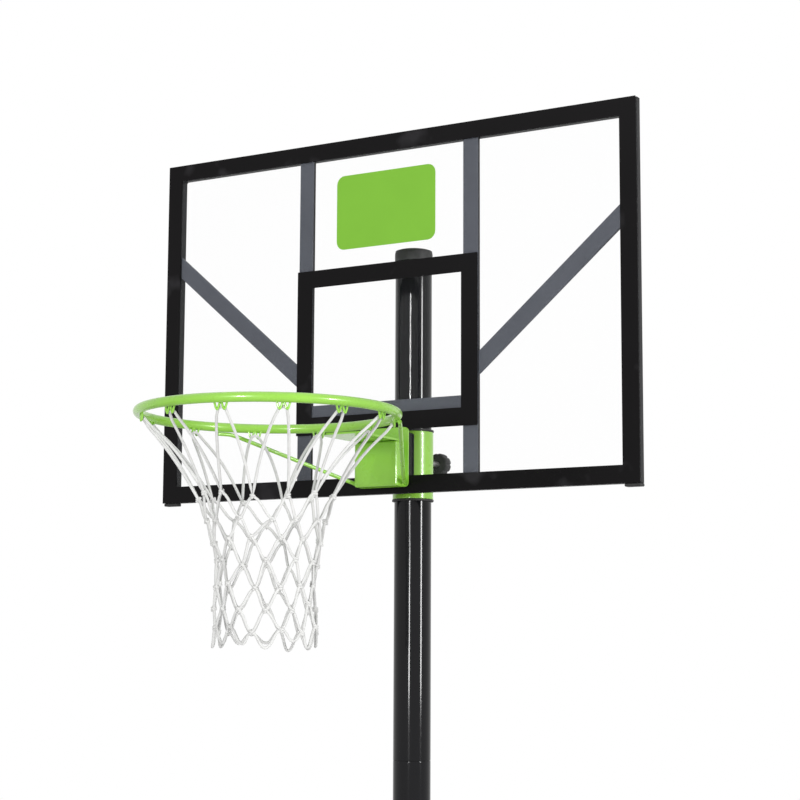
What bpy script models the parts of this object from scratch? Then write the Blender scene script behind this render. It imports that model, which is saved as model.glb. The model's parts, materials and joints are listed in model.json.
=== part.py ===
"""Portable basketball hoop on a fillable base, with a board that slides up and down its pole.

Metres, +Z up. The origin is on the floor under the pole's axis, and the board faces -Y.
The pieces of the sliding carriage are placed from an empty on the pole's axis at the
height of the board's lower edge.
"""

import math

import bmesh
import bpy
from mathutils import Vector

GAP = 0.0003  # clearance between pieces that are welded, bolted or resting on each other

# heights
RING_HEIGHT = 2.70  # top of its range is 3.05, the height used in matches
RING_ABOVE_BOARD = 0.117
BOARD_BOTTOM = RING_HEIGHT - RING_ABOVE_BOARD
POLE_TOP = BOARD_BOTTOM + 0.5214

# backboard
BOARD_W, BOARD_H, BOARD_T = 1.118, 0.746, 0.004
BOARD_FRONT = -0.1166  # from the pole's axis
FILM_T, FILM_GAP = 0.0003, 0.0001
BORDER_W = 0.0354
TARGET_W, TARGET_BOTTOM, TARGET_TOP, TARGET_BAR = 0.428, 0.1286, 0.4752, 0.0368
BADGE_W, BADGE_H, BADGE_Z, BADGE_R = 0.236, 0.157, 0.591, 0.018

# steel frame behind the board
FRAME_W, FRAME_D, FRAME_WALL = 0.034, 0.018, 0.0015
BRACE_W, BRACE_D = 0.035, 0.008
UPRIGHT_X = 0.214 - BRACE_W / 2
CROSS_Z = 0.173
DIAGONAL_SLOPE, DIAGONAL_Z = 0.852, 0.2532

# pole and sleeve
POLE_R, POLE_WALL = 0.0383, 0.002
SLEEVE_R, SLEEVE_WALL, SLEEVE_BOTTOM, SLEEVE_TOP = 0.042, 0.002, -0.003, 0.136
BUSH_R, BUSH_LIP_R, BUSH_LIP, BUSH_LENGTH = 0.0387, 0.043, 0.0045, 0.030
UPPER_JOINT, LOWER_JOINT, SPIGOT = 2.05, 1.10, 0.08
CLAMP_Z, CLAMP_R, CLAMP_BORE = 0.079, 0.006, 0.0064
KNOB_R, KNOB_T, KNOB_Y = 0.024, 0.024, 0.112

# rim
RING_R, RING_TUBE, RING_OUT = 0.2376, 0.009, 0.4126
HOOKS_FRONT, HOOK_FRONT_FIRST, HOOK_FRONT_STEP = 5, 257.0, 27.0
HOOKS_REAR = 7
HOOK_LOOP, HOOK_WIRE, HOOK_IN = 0.008, 0.002, 0.005
BRACKET_W, BRACKET_TOP, BRACKET_BOTTOM, BRACKET_OUT = 0.101, 0.1035, 0.0125, 0.033
FLANGE_W, FLANGE_TOP, SHEET = 0.117, 0.133, 0.003
BOLT_X, BOLT_ZS, BOLT_R = 0.030, (0.055, 0.090), 0.004
RIM_BRACE_R, RIM_BRACE_ANGLE, RIM_BRACE_OUT = 0.004, 31.5, 0.004

# net
NET_CORD = 0.005
NET_ROWS = 7
NET_DROP, NET_FIRST_ROW, NET_HANG = 0.433, 0.154, 0.0253
NET_TOP_R, NET_WAIST_R, NET_END_R = RING_R - HOOK_IN, 0.128, 0.093

# base
TANK_X, TANK_FRONT, TANK_BACK, TANK_H = 0.39, -0.25, 0.83, 0.165
TANK_CORNER, TANK_WALL, TANK_EDGE = 0.09, 0.004, 0.014
WELL_X, WELL_BACK = 0.27, -0.105
WHEEL_Y, WHEEL_Z, WHEEL_R, WHEEL_W = -0.20, 0.064, 0.060, 0.040
HUB_R, AXLE_R = 0.040, 0.006
FILL_Y, FILL_R = 0.62, 0.025
FOOT, FOOT_T, SOCKET_H = 0.17, 0.005, 0.09
STRUT_TOP, STRUT_X, STRUT_Y, STRUT_R, STRUT_WALL = 1.00, 0.26, 0.66, 0.0125, 0.0015
CLAMP_BAND_H = 0.034


def clear_scene():
    for obj in list(bpy.data.objects):
        bpy.data.objects.remove(obj, do_unlink=True)


def new_collection(name):
    made = bpy.data.collections.new(name)
    bpy.context.scene.collection.children.link(made)
    return made


def material(name, color, roughness, metallic=0.0, alpha=1.0):
    made = bpy.data.materials.new(name)
    made.use_nodes = True
    made.diffuse_color = (*color, alpha)
    shader = made.node_tree.nodes["Principled BSDF"]
    shader.inputs["Base Color"].default_value = (*color, 1.0)
    shader.inputs["Roughness"].default_value = roughness
    shader.inputs["Metallic"].default_value = metallic
    shader.inputs["Alpha"].default_value = alpha
    return made


clear_scene()
PARTS = new_collection("basketball_hoop")
CUTTERS = new_collection("basketball_hoop_cutters")
MATERIALS = {
    "clear": material("clear_polycarbonate", (0.86, 0.88, 0.90), 0.06, alpha=0.35),
    "print": material("black_print", (0.012, 0.012, 0.013), 0.25),
    "badge": material("green_sticker", (0.23, 0.50, 0.05), 0.35),
    "black": material("black_powder_coat", (0.030, 0.031, 0.034), 0.45, 0.6),
    "grey": material("grey_powder_coat", (0.11, 0.115, 0.135), 0.50, 0.4),
    "green": material("green_powder_coat", (0.24, 0.55, 0.045), 0.35, 0.2),
    "plastic": material("black_plastic", (0.020, 0.020, 0.021), 0.50),
    "tank": material("black_polyethylene", (0.022, 0.022, 0.024), 0.55),
    "rubber": material("black_rubber", (0.016, 0.016, 0.016), 0.80),
    "zinc": material("zinc_plated_steel", (0.60, 0.60, 0.58), 0.35, 1.0),
    "cord": material("white_cord", (0.86, 0.86, 0.84), 0.85),
}
CARRIAGE = bpy.data.objects.new("carriage_origin", None)
CARRIAGE.location = (0, 0, BOARD_BOTTOM)
PARTS.objects.link(CARRIAGE)


def place(obj, name, slot=None, parent=None):
    """Names the object and puts it with the parts, or with the cutters if it has no slot."""
    obj.name = name
    obj.data.name = name
    for collection in list(obj.users_collection):
        collection.objects.unlink(obj)
    if slot is None:
        CUTTERS.objects.link(obj)
        obj.hide_render = True
        obj.display_type = "WIRE"
    else:
        PARTS.objects.link(obj)
        obj.data.materials.clear()
        obj.data.materials.append(MATERIALS[slot])
    obj.parent = parent
    return obj


def from_bmesh(name, bm, slot=None, parent=None, location=(0, 0, 0)):
    mesh = bpy.data.meshes.new(name)
    bmesh.ops.recalc_face_normals(bm, faces=bm.faces)
    bm.to_mesh(mesh)
    bm.free()
    obj = bpy.data.objects.new(name, mesh)
    bpy.context.scene.collection.objects.link(obj)
    obj.location = location
    return place(obj, name, slot, parent)


def cube(size, centre=(0, 0, 0)):
    bm = bmesh.new()
    bmesh.ops.create_cube(bm, size=1.0)
    bmesh.ops.scale(bm, vec=size, verts=bm.verts)
    bmesh.ops.translate(bm, vec=centre, verts=bm.verts)
    return bm


def edges_along(bm, axis):
    """The edges that run along one axis."""
    found = []
    for edge in bm.edges:
        run = edge.verts[0].co - edge.verts[1].co
        others = [abs(run[i]) for i in range(3) if i != axis]
        if abs(run[axis]) > 1e-6 and max(others) < 1e-6:
            found.append(edge)
    return found


def round_edges(bm, edges, radius, segments):
    bmesh.ops.bevel(
        bm, geom=edges, offset=radius, offset_type="OFFSET", segments=segments,
        profile=0.5, affect="EDGES", clamp_overlap=True,
    )


def add_bevel(obj, width, segments=2, angle=30):
    bevel = obj.modifiers.new("edge_rounding", "BEVEL")
    bevel.width = width
    bevel.segments = segments
    bevel.limit_method = "ANGLE"
    bevel.angle_limit = math.radians(angle)
    return obj


def cut(obj, cutter, operation="DIFFERENCE"):
    boolean = obj.modifiers.new(operation.lower(), "BOOLEAN")
    boolean.operation = operation
    boolean.solver = "EXACT"
    boolean.object = cutter
    return obj


def box(name, low, high, slot=None, parent=None, bevel=0.0, segments=2):
    centre = [(a + b) / 2 for a, b in zip(low, high)]
    size = [b - a for a, b in zip(low, high)]
    obj = from_bmesh(name, cube(size), slot, parent, centre)
    return add_bevel(obj, bevel, segments) if bevel else obj


def cylinder(name, radius, start, end, slot=None, parent=None, sides=24):
    """A straight round bar from one point to another."""
    start, end = Vector(start), Vector(end)
    bm = bmesh.new()
    bmesh.ops.create_cone(
        bm, cap_ends=True, segments=sides, radius1=radius, radius2=radius,
        depth=(end - start).length,
    )
    obj = from_bmesh(name, bm, slot, parent, (start + end) / 2)
    obj.rotation_mode = "QUATERNION"
    obj.rotation_quaternion = Vector((0, 0, 1)).rotation_difference(end - start)
    return obj


def turned(name, profile, slot=None, parent=None, steps=32, close=True, location=(0, 0, 0)):
    """Turns a profile of (radius, height) points about the object's Z axis."""
    bm = bmesh.new()
    verts = [bm.verts.new((r, 0.0, z)) for r, z in profile]
    pairs = list(zip(verts, verts[1:])) + ([(verts[-1], verts[0])] if close else [])
    for a, b in pairs:
        bm.edges.new((a, b))
    mesh = bpy.data.meshes.new(name)
    bm.to_mesh(mesh)
    bm.free()
    obj = bpy.data.objects.new(name, mesh)
    bpy.context.scene.collection.objects.link(obj)
    obj.location = location
    screw = obj.modifiers.new("turn", "SCREW")
    screw.steps = screw.render_steps = steps
    screw.use_merge_vertices = True
    screw.merge_threshold = 0.00001
    return place(obj, name, slot, parent)


def ring_profile(inner, outer, bottom, top, chamfer=0.0):
    """Closed cross-section of a plain ring, outer side first from top to bottom."""
    c = chamfer
    if not c:
        return [(outer, top), (outer, bottom), (inner, bottom), (inner, top)]
    return [(outer - c, top), (outer, top - c), (outer, bottom + c), (outer - c, bottom),
            (inner, bottom), (inner, top)]


def outline(name, loops, thickness, slot, parent, location):
    """A flat sheet standing across Y from closed loops of (x, z) points."""
    data = bpy.data.curves.new(name, "CURVE")
    data.dimensions = "2D"
    data.fill_mode = "BOTH"
    data.extrude = thickness / 2
    for loop in loops:
        spline = data.splines.new("POLY")
        spline.points.add(len(loop) - 1)
        for point, (x, z) in zip(spline.points, loop):
            point.co = (x, z, 0, 1)
        spline.use_cyclic_u = True
    obj = bpy.data.objects.new(name, data)
    bpy.context.scene.collection.objects.link(obj)
    obj.location = location
    obj.rotation_euler = (math.radians(90), 0, 0)
    return place(obj, name, slot, parent)


def rectangle(width, bottom, top, radius=0.0, steps=5):
    """Corner points of a rectangle centred on x = 0, its corners rounded if asked."""
    if not radius:
        return [(-width / 2, bottom), (width / 2, bottom), (width / 2, top), (-width / 2, top)]
    points = []
    corners = ((width / 2 - radius, top - radius, 0), (-width / 2 + radius, top - radius, 90),
               (-width / 2 + radius, bottom + radius, 180),
               (width / 2 - radius, bottom + radius, 270))
    for cx, cz, first in corners:
        for i in range(steps + 1):
            angle = math.radians(first + 90 * i / steps)
            points.append((cx + radius * math.cos(angle), cz + radius * math.sin(angle)))
    return points


def steel_tube(name, size, axis, centre, wall, corner, slot, shear=0.0, parent=CARRIAGE):
    """A straight rectangular tube, open at both ends; shear slants it and keeps its ends upright."""
    bm = cube(size)
    round_edges(bm, edges_along(bm, axis), corner, 2)
    ends = [face for face in bm.faces if abs(face.normal[axis]) > 0.9]
    bmesh.ops.delete(bm, geom=ends, context="FACES")
    for vert in bm.verts:
        vert.co.z += shear * vert.co.x
    obj = from_bmesh(name, bm, slot, parent, centre)
    shell = obj.modifiers.new("wall", "SOLIDIFY")
    shell.thickness = wall
    shell.offset = -1
    return obj


# --- backboard -----------------------------------------------------------------------------

def make_board(bolt_holes):
    panel = box("backboard_panel", (-BOARD_W / 2, BOARD_FRONT, 0),
                (BOARD_W / 2, BOARD_FRONT + BOARD_T, BOARD_H), "clear", CARRIAGE)
    cut(panel, bolt_holes)
    film_y = BOARD_FRONT - FILM_GAP - FILM_T / 2
    inset = 0.0005
    outline("border_film",
            [rectangle(BOARD_W - 2 * inset, inset, BOARD_H - inset),
             rectangle(BOARD_W - 2 * BORDER_W, BORDER_W, BOARD_H - BORDER_W)],
            FILM_T, "print", CARRIAGE, (0, film_y, 0))
    outline("target_film",
            [rectangle(TARGET_W, TARGET_BOTTOM, TARGET_TOP),
             rectangle(TARGET_W - 2 * TARGET_BAR, TARGET_BOTTOM + TARGET_BAR,
                       TARGET_TOP - TARGET_BAR)],
            FILM_T, "print", CARRIAGE, (0, film_y, 0))
    outline("badge_film",
            [rectangle(BADGE_W, BADGE_Z - BADGE_H / 2, BADGE_Z + BADGE_H / 2, BADGE_R)],
            FILM_T, "badge", CARRIAGE, (0, film_y, 0))


# --- frame behind the board ------------------------------------------------------------------

def make_frame():
    y = BOARD_FRONT + BOARD_T + GAP + FRAME_D / 2
    for side, name in ((-1, "left"), (1, "right")):
        steel_tube(f"frame_tube_{name}", (FRAME_W, FRAME_D, BOARD_H - 0.002), 2,
                   (side * (BOARD_W / 2 - FRAME_W / 2 - 0.0005), y, BOARD_H / 2),
                   FRAME_WALL, 0.003, "black")
        make_plug(name, side, y)
    span = BOARD_W - 2 * FRAME_W - 0.001 - 2 * GAP
    for name, z in (("bottom", FRAME_W / 2 + 0.0005), ("top", BOARD_H - FRAME_W / 2 - 0.0005)):
        steel_tube(f"frame_tube_{name}", (span, FRAME_D, FRAME_W), 0, (0, y, z),
                   FRAME_WALL, 0.003, "black")


def make_plug(name, side, y):
    """Plastic stopper in the open lower end of a side tube: a lip and a hollow plug."""
    x = side * (BOARD_W / 2 - FRAME_W / 2 - 0.0005)
    lip = box(f"tube_plug_{name}", (x - FRAME_W / 2, y - FRAME_D / 2, -0.0055),
              (x + FRAME_W / 2, y + FRAME_D / 2, 0.001 - GAP), "plastic", CARRIAGE, 0.0015, 1)
    inner_w = FRAME_W / 2 - FRAME_WALL - GAP - 0.001
    inner_d = FRAME_D / 2 - FRAME_WALL - GAP - 0.001
    stem = box(f"tube_plug_{name}_stem", (x - inner_w, y - inner_d, -0.003),
               (x + inner_w, y + inner_d, 0.018), None, CARRIAGE)
    cut(lip, stem, "UNION")


def make_braces():
    y = BOARD_FRONT + BOARD_T + GAP + BRACE_D / 2
    length = BOARD_H - 2 * FRAME_W - 0.001 - 2 * GAP
    inner_x = UPRIGHT_X + BRACE_W / 2 + GAP
    outer_x = BOARD_W / 2 - FRAME_W - 0.0005 - GAP
    rise = math.hypot(1, DIAGONAL_SLOPE)
    for side, name in ((-1, "left"), (1, "right")):
        steel_tube(f"upright_{name}", (BRACE_W, BRACE_D, length), 2,
                   (side * UPRIGHT_X, y, BOARD_H / 2), FRAME_WALL, 0.0015, "grey")
        middle = (inner_x + outer_x) / 2
        z = DIAGONAL_Z + DIAGONAL_SLOPE * (middle - inner_x)
        length_x = outer_x - inner_x - 2 * FRAME_WALL * DIAGONAL_SLOPE / rise
        steel_tube(f"diagonal_{name}", (length_x, BRACE_D, BRACE_W * rise), 0,
                   (side * middle, y, z), FRAME_WALL, 0.0015, "grey",
                   shear=side * DIAGONAL_SLOPE)
    span = 2 * (UPRIGHT_X - BRACE_W / 2 - GAP)
    steel_tube("cross_tube", (span, BRACE_D, BRACE_W), 0, (0, y, CROSS_Z),
               FRAME_WALL, 0.0015, "grey")


# --- carrier and sleeve ------------------------------------------------------------------------

def make_carrier(bolt_holes):
    front = BOARD_FRONT + BOARD_T + GAP
    bottom = FRAME_W + 0.0005 + GAP
    plate = box("carrier_plate", (-0.052, front, bottom),
                (0.052, front + 0.004, CROSS_Z - BRACE_W / 2 - GAP), "black", CARRIAGE)
    cut(plate, bolt_holes)
    for side, name in ((-1, "left"), (1, "right")):
        x = side * 0.020
        box(f"carrier_web_{name}", (x - 0.0015, front + 0.004 + GAP, bottom + 0.002),
            (x + 0.0015, -0.0381, SLEEVE_TOP - 0.006), "black", CARRIAGE)


def make_sleeve():
    bore = cylinder("clamp_bore", CLAMP_BORE, (0, 0.02, CLAMP_Z), (0, 0.08, CLAMP_Z),
                    parent=CARRIAGE, sides=24)
    inner = SLEEVE_R - SLEEVE_WALL
    sleeve = turned("sleeve_tube", ring_profile(inner, SLEEVE_R, SLEEVE_BOTTOM, SLEEVE_TOP),
                    "green", CARRIAGE)
    cut(sleeve, bore)
    boss = cylinder("clamp_boss", 0.012, (0, SLEEVE_R + GAP, CLAMP_Z),
                    (0, SLEEVE_R + 0.015, CLAMP_Z), "green", CARRIAGE, 24)
    cut(boss, bore)
    for name, lip_from, sign in (("upper", SLEEVE_TOP + GAP, 1), ("lower", SLEEVE_BOTTOM - GAP, -1)):
        make_bushing(name, lip_from, sign, inner - GAP)
    make_clamp()


def make_bushing(name, z, sign, outer):
    """Plastic liner of the sleeve's end, with a lip outside it."""
    tip, lip = z - sign * BUSH_LENGTH, z + sign * BUSH_LIP
    profile = [(BUSH_LIP_R - 0.001, lip), (BUSH_LIP_R, lip - sign * 0.001), (BUSH_LIP_R, z),
               (outer, z), (outer, tip), (BUSH_R, tip), (BUSH_R, lip)]
    if sign < 0:
        profile.reverse()
    turned(f"bushing_{name}", profile, "plastic", CARRIAGE)


def make_clamp():
    """Screw with a loose pad at its tip and a lobed knob, on the rear of the sleeve."""
    tip = POLE_R + 0.0004
    cylinder("clamp_pad", CLAMP_R, (0, tip, CLAMP_Z), (0, tip + 0.003, CLAMP_Z), "plastic",
             CARRIAGE, 20)
    cylinder("clamp_screw", CLAMP_R, (0, tip + 0.003 + GAP, CLAMP_Z),
             (0, KNOB_Y - KNOB_T / 2 - GAP, CLAMP_Z), "zinc", CARRIAGE, 20)
    knob = cylinder("clamp_knob", KNOB_R, (0, KNOB_Y - KNOB_T / 2, CLAMP_Z),
                    (0, KNOB_Y + KNOB_T / 2, CLAMP_Z), "plastic", CARRIAGE, 48)
    grooves = bmesh.new()
    for i in range(8):
        angle = math.radians(22.5 + 45 * i)
        groove = bmesh.ops.create_cone(grooves, cap_ends=True, segments=12, radius1=0.006,
                                       radius2=0.006, depth=2 * KNOB_T)
        offset = ((KNOB_R + 0.0035) * math.cos(angle), (KNOB_R + 0.0035) * math.sin(angle), 0)
        bmesh.ops.translate(grooves, vec=offset, verts=groove["verts"])
    cutter = from_bmesh("knob_grooves", grooves, None, CARRIAGE, (0, KNOB_Y, CLAMP_Z))
    cutter.rotation_euler = (math.radians(90), 0, 0)
    cut(knob, cutter)
    add_bevel(knob, 0.0015, 1, 50)


# --- rim ---------------------------------------------------------------------------------------

def hook_angles():
    last = HOOK_FRONT_FIRST + HOOK_FRONT_STEP * (HOOKS_FRONT - 1)
    step = (HOOK_FRONT_FIRST + 360 - last) / (HOOKS_REAR + 1)
    front = [HOOK_FRONT_FIRST + HOOK_FRONT_STEP * i for i in range(HOOKS_FRONT)]
    rear = [last + step * (i + 1) for i in range(HOOKS_REAR)]
    return [math.radians(angle) for angle in front + rear]


def ring_centre():
    return Vector((0, BOARD_FRONT - RING_OUT, RING_ABOVE_BOARD))


def on_ring(angle, radius=RING_R, z=0.0):
    return ring_centre() + Vector((radius * math.cos(angle), radius * math.sin(angle), z))


def make_ring():
    bpy.ops.mesh.primitive_torus_add(major_radius=RING_R, minor_radius=RING_TUBE,
                                     major_segments=64, minor_segments=10,
                                     location=ring_centre())
    ring = place(bpy.context.object, "rim_ring", "green", CARRIAGE)
    for i, angle in enumerate(hook_angles()):
        z = -RING_TUBE - HOOK_LOOP / 2
        bpy.ops.mesh.primitive_torus_add(major_radius=HOOK_LOOP, minor_radius=HOOK_WIRE,
                                         major_segments=10, minor_segments=5,
                                         location=on_ring(angle, RING_R - HOOK_IN, z),
                                         rotation=(math.radians(90), 0, angle + math.pi / 2))
        hook = place(bpy.context.object, f"net_hook_{i + 1:02d}", None, CARRIAGE)
        cut(ring, hook, "UNION")


def make_bracket(bolt_holes):
    front = BOARD_FRONT - FILM_GAP - FILM_T - GAP
    half = BRACKET_W / 2
    flange = outline("flange_outline",
                     [rectangle(FLANGE_W, BRACKET_BOTTOM, FLANGE_TOP, 0.009, 4)],
                     SHEET, None, CARRIAGE, (0, front - SHEET / 2, 0))
    bracket = curve_to_mesh(flange, "rim_bracket", "green")
    body = box("bracket_body", (-half, BOARD_FRONT - BRACKET_OUT, BRACKET_BOTTOM),
               (half, front - SHEET / 2, BRACKET_TOP), None, CARRIAGE, 0.004, 2)
    hollow = box("bracket_hollow",
                 (-half + SHEET, BOARD_FRONT - BRACKET_OUT + SHEET, BRACKET_BOTTOM - 0.02),
                 (half - SHEET, front - SHEET, BRACKET_TOP - SHEET), None, CARRIAGE)
    cut(bracket, body, "UNION")
    cut(bracket, hollow)
    cut(bracket, bolt_holes)
    make_rim_plate()
    make_rim_braces()


def curve_to_mesh(curve, name, slot):
    """A mesh object in the place of a curve, its caps welded, so that it can be cut and joined."""
    bpy.context.view_layer.update()
    graph = bpy.context.evaluated_depsgraph_get()
    mesh = bpy.data.meshes.new_from_object(curve.evaluated_get(graph))
    bm = bmesh.new()
    bm.from_mesh(mesh)
    bmesh.ops.remove_doubles(bm, verts=bm.verts, dist=0.00001)
    bmesh.ops.recalc_face_normals(bm, faces=bm.faces)
    bm.to_mesh(mesh)
    bm.free()
    obj = bpy.data.objects.new(name, mesh)
    bpy.context.scene.collection.objects.link(obj)
    parent = curve.parent
    local = curve.matrix_local.copy()
    bpy.data.objects.remove(curve, do_unlink=True)
    place(obj, name, slot, parent)
    obj.matrix_local = local
    return obj


def make_rim_plate():
    """Flat arm that carries the ring, on top of the bracket."""
    reach = RING_OUT - RING_R - 0.002
    back = BOARD_FRONT - FILM_GAP - FILM_T - SHEET - 2 * GAP
    box("rim_plate", (-BRACKET_W / 2 + 0.004, BOARD_FRONT - reach, BRACKET_TOP + GAP),
        (BRACKET_W / 2 - 0.004, back, RING_ABOVE_BOARD - RING_TUBE - GAP), "green", CARRIAGE)


def make_rim_braces():
    for side, name in ((-1, "left"), (1, "right")):
        angle = math.radians(90 - side * (90 - RIM_BRACE_ANGLE))
        apart = RING_TUBE + RIM_BRACE_R + GAP
        top = on_ring(angle, RING_R + RIM_BRACE_OUT, -math.sqrt(apart**2 - RIM_BRACE_OUT**2))
        foot = Vector((side * (BRACKET_W / 2 + RIM_BRACE_R + GAP), BOARD_FRONT - 0.014, 0.020))
        near = top + (foot - top) * 0.10
        near.z = top.z
        data = bpy.data.curves.new(f"rim_brace_{name}", "CURVE")
        data.dimensions = "3D"
        data.bevel_depth = RIM_BRACE_R
        data.bevel_resolution = 2
        data.use_fill_caps = True
        spline = data.splines.new("POLY")
        bend = near + (foot - near) * 0.04
        points = [top, near, bend, foot]
        spline.points.add(len(points) - 1)
        for point, co in zip(spline.points, points):
            point.co = (*co, 1)
        obj = bpy.data.objects.new(f"rim_brace_{name}", data)
        bpy.context.scene.collection.objects.link(obj)
        place(obj, f"rim_brace_{name}", "green", CARRIAGE)


def make_bolt_holes():
    holes = bmesh.new()
    for x in (-BOLT_X, BOLT_X):
        for z in BOLT_ZS:
            made = bmesh.ops.create_cone(holes, cap_ends=True, segments=16,
                                         radius1=BOLT_R + GAP, radius2=BOLT_R + GAP, depth=0.03)
            bmesh.ops.translate(holes, vec=(x, z, 0), verts=made["verts"])
    obj = from_bmesh("bracket_bolt_holes", holes, None, CARRIAGE, (0, BOARD_FRONT, 0))
    obj.rotation_euler = (math.radians(90), 0, 0)
    return obj


def make_bolts():
    """Bolts from inside the bracket, through the board and the carrier plate, with a nut each."""
    back = BOARD_FRONT + BOARD_T + 2 * GAP + 0.004
    head_y = BOARD_FRONT - FILM_GAP - FILM_T - 2 * GAP - SHEET
    count = 0
    for x in (-BOLT_X, BOLT_X):
        for z in BOLT_ZS:
            count += 1
            turned(f"bracket_bolt_{count}",
                   [(0.0, 0.0055), (0.0068, 0.0055), (0.0075, 0.0045), (0.0075, 0.0),
                    (BOLT_R, 0.0), (BOLT_R, head_y - back - 0.010), (0.0, head_y - back - 0.010)],
                   "zinc", CARRIAGE, 12, False, (x, head_y, z)).rotation_euler = (
                       math.radians(90), 0, 0)
            turned(f"bracket_nut_{count}",
                   ring_profile((BOLT_R + GAP) / math.cos(math.pi / 6), 0.0075, -0.0032, 0.0032),
                   "zinc", CARRIAGE, 6,
                   True, (x, back + 0.0032 + GAP, z)).rotation_euler = (math.radians(90), 0, 0)


# --- net ---------------------------------------------------------------------------------------

def net_radius(drop):
    if drop <= NET_FIRST_ROW:
        t = (drop - NET_HANG) / (NET_FIRST_ROW - NET_HANG)
        return NET_TOP_R + (NET_WAIST_R - NET_TOP_R) * math.sin(t * math.pi / 2) ** 0.9
    t = (drop - NET_FIRST_ROW) / (NET_DROP - NET_FIRST_ROW)
    return NET_WAIST_R + (NET_END_R - NET_WAIST_R) * t


def make_net():
    """Knotted net of diamonds: each row of knots hangs between the two above it."""
    angles = sorted(angle % math.tau for angle in hook_angles())
    count = len(angles)
    bm = bmesh.new()
    rows = []
    for row in range(NET_ROWS):
        step = (NET_DROP - NET_FIRST_ROW) / (NET_ROWS - 2)
        drop = NET_HANG if row == 0 else NET_FIRST_ROW + step * (row - 1)
        evenness = min(1.0, row / 2)
        verts = []
        for i in range(count):
            here, after = angles[i], angles[(i + 1) % count] + (math.tau if i == count - 1 else 0)
            hung = (here + after) / 2 if row % 2 else here
            even = angles[0] + math.tau * (i + (0.5 if row % 2 else 0)) / count
            angle = hung + (even - hung) * evenness
            verts.append(bm.verts.new(on_ring(angle, net_radius(drop), -drop)))
        rows.append(verts)
    for row in range(NET_ROWS - 2):
        for i in range(count):
            left, right = ((i - 1) % count, i) if row % 2 == 0 else (i, (i + 1) % count)
            bm.faces.new((rows[row][i], rows[row + 1][left], rows[row + 2][i],
                          rows[row + 1][right]))
    net = from_bmesh("net", bm, "cord", CARRIAGE)
    wires = net.modifiers.new("cords", "WIREFRAME")
    wires.thickness = NET_CORD
    wires.use_boundary = True
    wires.use_replace = True
    wires.use_even_offset = False


# --- pole --------------------------------------------------------------------------------------

def pole_profile(bottom, top, spigot):
    outer, inner = POLE_R, POLE_R - POLE_WALL
    if not spigot:
        return ring_profile(inner, outer, bottom, top)
    neck = inner - 0.0008
    return [(outer, top), (outer, bottom), (neck, bottom), (neck, bottom - SPIGOT),
            (neck - POLE_WALL, bottom - SPIGOT), (neck - POLE_WALL, bottom),
            (inner, bottom + 0.008), (inner, top)]


def make_pole():
    foot = TANK_H + FOOT_T + 2 * GAP
    turned("pole_lower", pole_profile(foot, LOWER_JOINT - GAP, False), "black")
    turned("pole_middle", pole_profile(LOWER_JOINT, UPPER_JOINT - GAP, True), "black")
    turned("pole_upper", pole_profile(UPPER_JOINT, POLE_TOP - 0.0025 - GAP, True), "black")
    skirt, top = 0.025, POLE_TOP
    outer, inner = 0.0396, POLE_R + GAP
    turned("pole_cap",
           [(0.0, top), (outer - 0.009, top), (outer - 0.003, top - 0.003), (outer, top - 0.009),
            (outer, top - skirt), (inner, top - skirt), (inner, top - 0.0025), (0.0, top - 0.0025)],
           "plastic", None, 32, False)


# --- base --------------------------------------------------------------------------------------

def rounded_slab(name, half_x, front, back, bottom, top, corner, slot=None, inset=0.0, edge=0.0):
    """A flat block with round corners in plan, its top drawn in a little."""
    bm = cube((2 * half_x, back - front, top - bottom))
    round_edges(bm, edges_along(bm, 2), corner, 6)
    for vert in bm.verts:
        if vert.co.z > 0:
            vert.co.x *= 1 - inset / half_x
            vert.co.y *= 1 - 2 * inset / (back - front)
    obj = from_bmesh(name, bm, slot, None, (0, (front + back) / 2, (bottom + top) / 2))
    return add_bevel(obj, edge, 2, 40) if edge else obj


def well_box(name, side, grow):
    low = min(side * (WELL_X - grow), side * 0.5)
    high = max(side * (WELL_X - grow), side * 0.5)
    return box(name, (low, TANK_FRONT - 0.1, -0.1), (high, WELL_BACK + grow, TANK_H + 0.1))


def make_tank():
    tank = rounded_slab("base_tank", TANK_X, TANK_FRONT, TANK_BACK, 0, TANK_H, TANK_CORNER,
                        "tank", 0.015, TANK_EDGE)
    wall = TANK_WALL
    hollow = rounded_slab("tank_hollow", TANK_X - wall, TANK_FRONT + wall, TANK_BACK - wall,
                          wall, TANK_H - wall, TANK_CORNER - wall, None, 0.015, TANK_EDGE)
    for side, name in ((-1, "left"), (1, "right")):
        cut(hollow, well_box(f"well_wall_{name}", side, wall))
        cut(tank, well_box(f"wheel_well_{name}", side, 0))
    cut(tank, hollow)
    cut(tank, cylinder("fill_hole", FILL_R, (0, FILL_Y, TANK_H - 0.05), (0, FILL_Y, TANK_H + 0.05)))
    turned("fill_cap",
           [(0.0, 0.010), (0.029, 0.010), (0.032, 0.007), (0.032, GAP), (FILL_R - 0.0006, GAP),
            (FILL_R - 0.0006, -0.012), (0.0, -0.012)],
           "plastic", None, 32, False, (0, FILL_Y, TANK_H))


def make_foot():
    base = TANK_H + GAP
    foot = box("pole_foot", (-FOOT / 2, -FOOT / 2, base), (FOOT / 2, FOOT / 2, base + FOOT_T),
               "black", None, 0.0)
    inner = POLE_R + 2 * GAP
    socket = turned("foot_socket", ring_profile(inner, inner + 0.003, base + FOOT_T / 2,
                                                base + SOCKET_H), None, None, 32)
    cut(foot, socket, "UNION")


def strut_line(side):
    """Where a strut's axis leaves the pole's band and where it meets the tank."""
    top = Vector((side * POLE_R * 0.6, POLE_R * 0.8, STRUT_TOP))
    foot = Vector((side * STRUT_X, STRUT_Y, TANK_H + 0.03))
    return top, foot


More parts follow.
